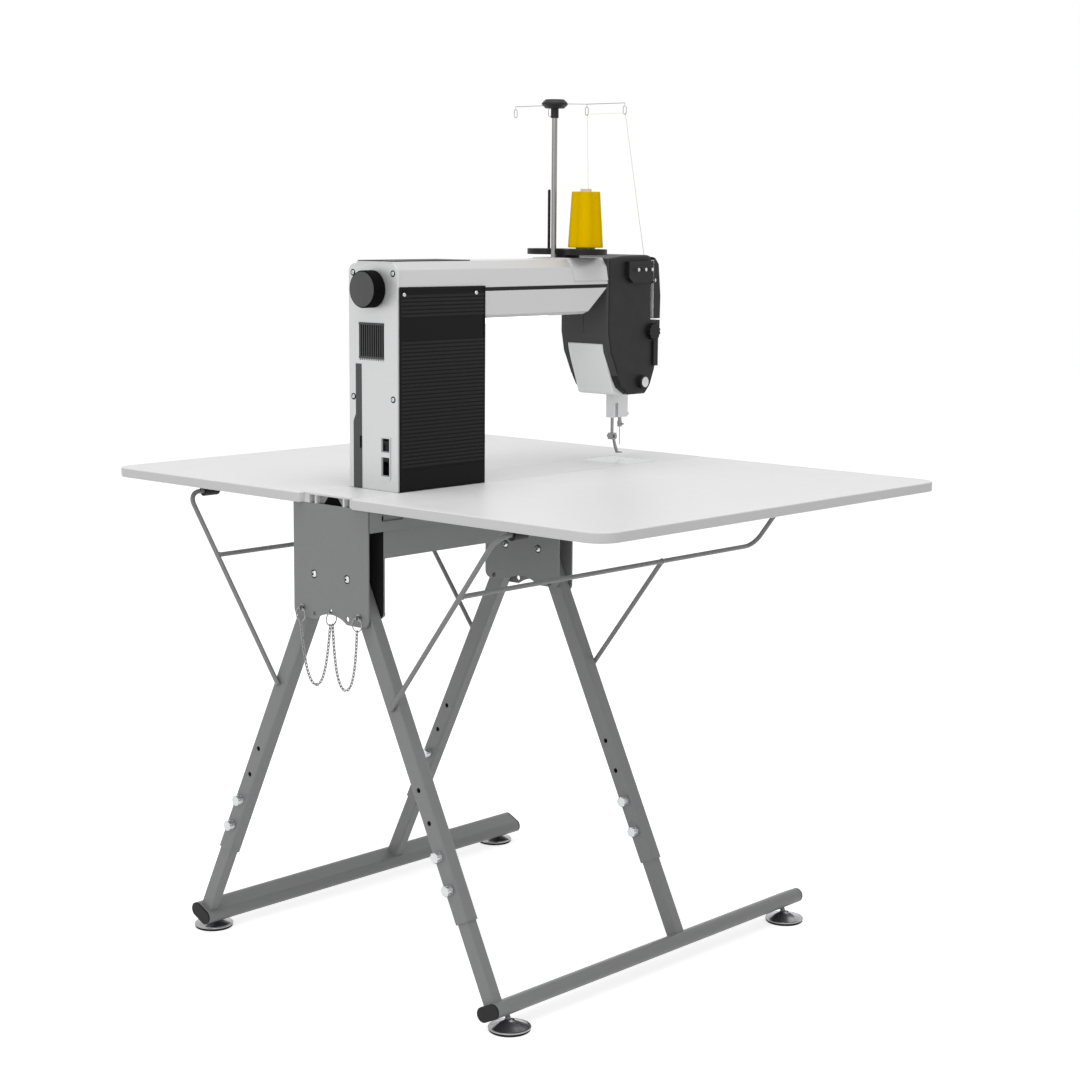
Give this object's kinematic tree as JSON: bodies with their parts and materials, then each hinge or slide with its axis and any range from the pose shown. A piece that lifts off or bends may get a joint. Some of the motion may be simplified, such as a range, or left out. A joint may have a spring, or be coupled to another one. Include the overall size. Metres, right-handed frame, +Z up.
{
  "type": "folding sewing table",
  "caption": "Two-leaf folding sewing table on splayed height-adjustable legs, carrying a long-arm sewing machine in its slot",
  "frame": {"origin": "on the floor under the middle of the opened tabletop", "axes": "+X to the left leaf, +Y to the machine's column at the back, +Z up"},
  "size_m": [1.138, 0.885, 1.4475],
  "materials": {
    "grey_steel": "grey powder coat, satin",
    "zinc": "bright zinc plating",
    "board": "white melamine-faced board with fine texture",
    "insert_plastic": "white moulded insert",
    "casting": "painted aluminium casting",
    "polished_plate": "polished steel",
    "brushed_panel": "brushed and anodised",
    "white_housing": "silver-white lacquer",
    "light_plastic": "light grey plastic",
    "black_plastic": "black plastic, satin",
    "dark_cover": "charcoal plastic, satin",
    "diffuser": "lit diffuser",
    "foot_chrome": "chromed steel on a rubber ring",
    "mast_steel": "chromed tube, black plastic hub",
    "yellow_thread": "wound yellow thread",
    "white_thread": "fine pale thread"
  },
  "bodies": {
    "frame": {"back_outer_plate": "grey_steel", "back_inner_plate": "grey_steel", "front_inner_plate": "grey_steel", "front_outer_plate": "grey_steel", "beam_channel": "grey_steel", "hinge_rails": "grey_steel", "pivot_bolts": "zinc", "back_insert": "insert_plastic", "front_insert": "insert_plastic", "left_chain": "zinc", "right_chain": "zinc", "bed_casting": "casting", "needle_plate": "polished_plate", "bobbin_hook": "polished_plate", "column_core": "casting", "back_panel": "brushed_panel", "side_covers": "black_plastic", "panel_screws": "zinc", "arm_housing": "white_housing", "arm_end_cap": "white_housing", "led_strip": "diffuser", "head_cover": "dark_cover", "head_rear_cover": "dark_cover", "needle_housing": "light_plastic", "needle_bar_block": "brushed_panel", "power_inlet": "black_plastic", "spool_tray": "black_plastic", "thread_mast": "mast_steel", "guide_wires": "zinc", "spool_pins": "black_plastic", "thread_guides": "black_plastic", "thread": "white_thread"},
    "left_leg": {"left_leg_tubes": "grey_steel", "left_clamp_bolts": "zinc"},
    "right_leg": {"right_leg_tubes": "grey_steel", "right_clamp_bolts": "zinc"},
    "left_lower": {"left_lower_frame": "grey_steel", "left_bar_caps": "black_plastic"},
    "right_lower": {"right_lower_frame": "grey_steel", "right_bar_caps": "black_plastic"},
    "left_back_pad": {"left_back_foot": "foot_chrome"},
    "left_front_pad": {"left_front_foot": "foot_chrome"},
    "right_back_pad": {"right_back_foot": "foot_chrome"},
    "right_front_pad": {"right_front_foot": "foot_chrome"},
    "left_top": {"left_leaf": "board", "left_leaf_fittings": "black_plastic"},
    "right_top": {"right_leaf": "board", "right_leaf_fittings": "black_plastic"},
    "left_wire": {"left_wire_support": "grey_steel"},
    "right_wire": {"right_wire_support": "grey_steel"},
    "left_pin": {"left_lock_pin": "zinc"},
    "right_pin": {"right_lock_pin": "zinc"},
    "wheel": {"handwheel": "black_plastic"},
    "needle": {"needle_bar": "polished_plate"},
    "hopper": {"hopping_foot": "polished_plate"},
    "lever": {"take_up_lever": "polished_plate"},
    "dial": {"tension_dial": "black_plastic"},
    "rocker": {"rocker_switch": "black_plastic"},
    "cone": {"thread_cone": "yellow_thread"}
  },
  "joints": [
    {"name": "left_leg_fold", "type": "hinge", "parent": "frame", "child": "left_leg", "pos_m": [0.055, 0.188, 0.675], "axis": [0, 1, 0], "range_deg": [0, 25.8]},
    {"name": "left_leg_slide", "type": "slide", "parent": "left_leg", "child": "left_lower", "axis": [-0.4352, 0, 0.9003], "range_m": [0, 0.107]},
    {"name": "left_back_foot_slide", "type": "slide", "parent": "left_lower", "child": "left_back_pad", "axis": [-0.4352, 0, 0.9003], "range_m": [0, 0.004]},
    {"name": "left_front_foot_slide", "type": "slide", "parent": "left_lower", "child": "left_front_pad", "axis": [-0.4352, 0, 0.9003], "range_m": [0, 0.004]},
    {"name": "left_leaf_fold", "type": "hinge", "parent": "frame", "child": "left_top", "pos_m": [0.112, 0.188, 0.7855], "axis": [0, 1, 0], "range_deg": [0, 86.1]},
    {"name": "left_wire_swing", "type": "hinge", "parent": "left_top", "child": "left_wire", "pos_m": [0.379, 0.06, 0.777], "axis": [0, -1, 0], "range_deg": [0, 127.2]},
    {"name": "left_pin_pull", "type": "slide", "parent": "frame", "child": "left_pin", "axis": [0, 1, 0], "range_m": [0, 0.04], "deforming": ["left_chain"]},
    {"name": "right_leg_fold", "type": "hinge", "parent": "frame", "child": "right_leg", "pos_m": [-0.023, 0.188, 0.675], "axis": [0, -1, 0], "range_deg": [0, 25.8]},
    {"name": "right_leg_slide", "type": "slide", "parent": "right_leg", "child": "right_lower", "axis": [0.4352, 0, 0.9003], "range_m": [0, 0.107]},
    {"name": "right_back_foot_slide", "type": "slide", "parent": "right_lower", "child": "right_back_pad", "axis": [0.4352, 0, 0.9003], "range_m": [0, 0.004]},
    {"name": "right_front_foot_slide", "type": "slide", "parent": "right_lower", "child": "right_front_pad", "axis": [0.4352, 0, 0.9003], "range_m": [0, 0.004]},
    {"name": "right_leaf_fold", "type": "hinge", "parent": "frame", "child": "right_top", "pos_m": [-0.08, 0.188, 0.7855], "axis": [0, -1, 0], "range_deg": [0, 86.1]},
    {"name": "right_wire_swing", "type": "hinge", "parent": "right_top", "child": "right_wire", "pos_m": [-0.347, 0.06, 0.777], "axis": [0, 1, 0], "range_deg": [0, 127.2]},
    {"name": "right_pin_pull", "type": "slide", "parent": "frame", "child": "right_pin", "axis": [0, 1, 0], "range_m": [0, 0.04], "deforming": ["right_chain"]},
    {"name": "handwheel_turn", "type": "hinge", "parent": "frame", "child": "wheel", "pos_m": [0.016, 0.347, 1.131], "axis": [0, 1, 0], "range_deg": [0, 180]},
    {"name": "needle_bar_slide", "type": "slide", "parent": "frame", "child": "needle", "axis": [0, 0, -1], "range_m": [0, 0.0341]},
    {"name": "hopping_foot_slide", "type": "slide", "parent": "frame", "child": "hopper", "axis": [0, 0, -1], "range_m": [0, 0.0131]},
    {"name": "take_up_swing", "type": "hinge", "parent": "frame", "child": "lever", "pos_m": [0.002, -0.303, 1.116], "axis": [0, -1, 0], "range_deg": [0, 48.2]},
    {"name": "tension_dial_turn", "type": "hinge", "parent": "frame", "child": "dial", "pos_m": [-0.039, -0.303, 1.044], "axis": [-1, 0, 0], "range_deg": [0, 300]},
    {"name": "rocker_tilt", "type": "hinge", "parent": "frame", "child": "rocker", "pos_m": [-0.0138, 0.3282, 0.8809], "axis": [1, 0, 0], "range_deg": [0, 16]},
    {"name": "cone_spin", "type": "hinge", "parent": "frame", "child": "cone", "pos_m": [-0.027, -0.132, 1.24], "axis": [0, 0, 1], "continuous": true}
  ],
  "couplings": [
    {"joint": "left_leaf_fold", "follows": "left_leg_fold", "ratio": 3.3333},
    {"joint": "left_wire_swing", "follows": "left_leg_fold", "ratio": 4.9225},
    {"joint": "right_leaf_fold", "follows": "right_leg_fold", "ratio": 3.3333},
    {"joint": "right_wire_swing", "follows": "right_leg_fold", "ratio": 4.9225},
    {"joint": "needle_bar_slide", "follows": "handwheel_turn", "m_per_rad": 0.010823},
    {"joint": "hopping_foot_slide", "follows": "handwheel_turn", "m_per_rad": 0.004138},
    {"joint": "take_up_swing", "follows": "handwheel_turn", "ratio": 0.26667}
  ]
}
